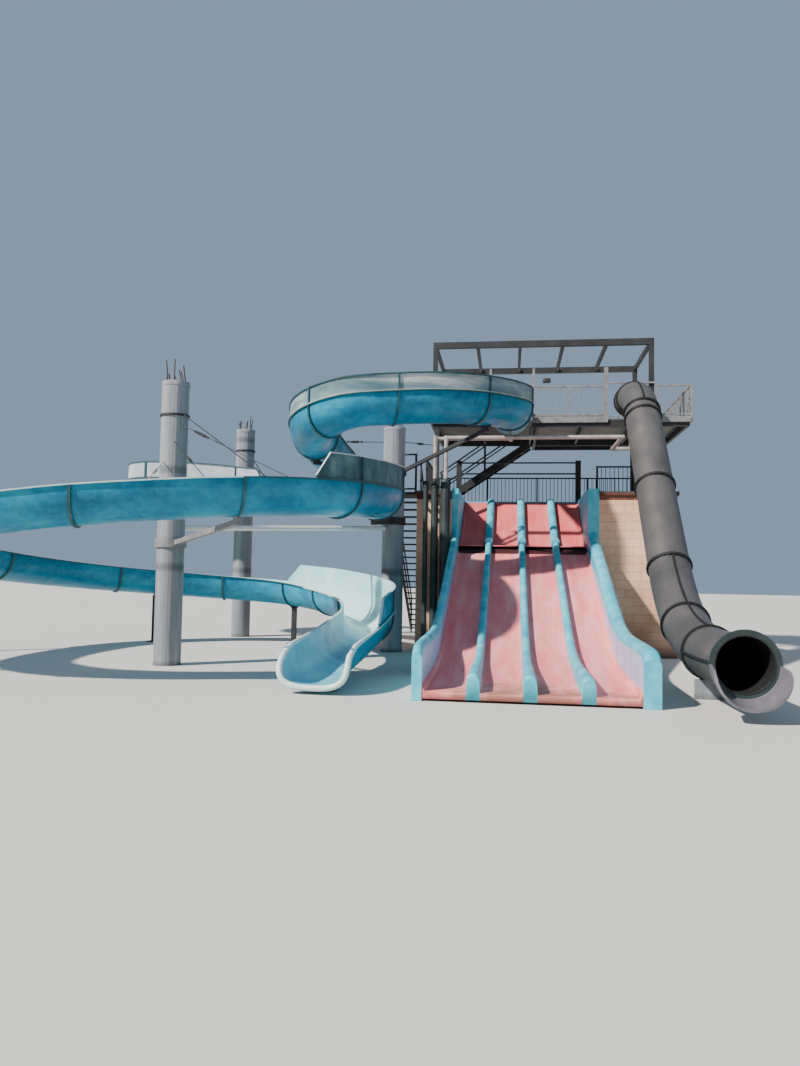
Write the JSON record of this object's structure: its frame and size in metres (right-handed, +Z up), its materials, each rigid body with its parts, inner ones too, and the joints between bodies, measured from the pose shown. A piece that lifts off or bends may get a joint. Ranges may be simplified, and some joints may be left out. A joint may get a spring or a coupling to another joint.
{
  "type": "water slide tower",
  "caption": "Water slide tower: block base with a four-lane slide, steel start platform with roof frame, enclosed tube slide and a long looping open flume on concrete columns.",
  "frame": {"origin": "ground line under the middle of the base front wall, on the centre line of the four-lane slide", "axes": "+Z up, +Y away from the pool towards the back of the tower, +X to the tube slide side"},
  "size_m": [16.7809, 15.585, 8.07],
  "materials": {
    "blockwork": "split-faced beige concrete block",
    "concrete": "cast grey concrete",
    "pink_fibreglass": "faded pink gelcoat",
    "cyan_fibreglass": "worn cyan gelcoat",
    "blue_fibreglass": "deep blue-green gelcoat, faded where the sun reaches it",
    "black_fibreglass": "matt dark grey",
    "painted_steel": "weathered dark grey-brown paint",
    "galvanised_steel": "dull galvanised",
    "dark_pipe": "dark green-grey paint"
  },
  "bodies": {
    "root": {"arms_middle_lower": "painted_steel", "arms_middle_upper": "painted_steel", "arms_north": "painted_steel", "arms_west": "painted_steel", "base_back_railing": "painted_steel", "base_back_wall": "blockwork", "base_deck": "concrete", "base_front_wall": "blockwork", "base_left_wall": "blockwork", "base_railing": "painted_steel", "base_right_wall": "blockwork", "column_link_pipe": "galvanised_steel", "column_middle": "concrete", "column_north": "concrete", "column_west": "concrete", "flume_crossing": "blue_fibreglass", "flume_descent": "blue_fibreglass", "flume_front_run": "blue_fibreglass", "flume_leg_1": "painted_steel", "flume_leg_2": "painted_steel", "flume_leg_3": "painted_steel", "flume_leg_4": "painted_steel", "flume_middle_turn": "blue_fibreglass", "flume_north_bend": "blue_fibreglass", "flume_outlet": "blue_fibreglass", "flume_outlet_saddle": "concrete", "flume_return": "blue_fibreglass", "flume_start": "blue_fibreglass", "flume_upper_turn": "blue_fibreglass", "lower_stair": "painted_steel", "platform_beams": "painted_steel", "platform_deck": "painted_steel", "platform_railing_east": "galvanised_steel", "platform_railing_west": "galvanised_steel", "riser_pipe_drain": "dark_pipe", "riser_pipe_flume": "galvanised_steel", "riser_pipe_tube": "galvanised_steel", "roof_frame": "painted_steel", "slide_left_wall": "cyan_fibreglass", "slide_lower_lanes": "pink_fibreglass", "slide_right_wall": "cyan_fibreglass", "slide_upper_lanes": "pink_fibreglass", "slide_upper_left_wall": "cyan_fibreglass", "slide_upper_right_wall": "cyan_fibreglass", "start_gate": "painted_steel", "tie_north": "painted_steel", "tie_west": "painted_steel", "tower_post_back_left": "painted_steel", "tower_post_back_right": "painted_steel", "tower_post_front_left": "painted_steel", "tower_post_front_right": "painted_steel", "tube_bend": "black_fibreglass", "tube_cradle": "concrete", "tube_entry_elbow": "black_fibreglass", "tube_lip": "black_fibreglass", "tube_lower_straight": "black_fibreglass", "tube_mouth": "black_fibreglass", "tube_run_out": "black_fibreglass", "tube_upper_straight": "black_fibreglass", "upper_stair": "painted_steel"}
  },
  "joints": []
}
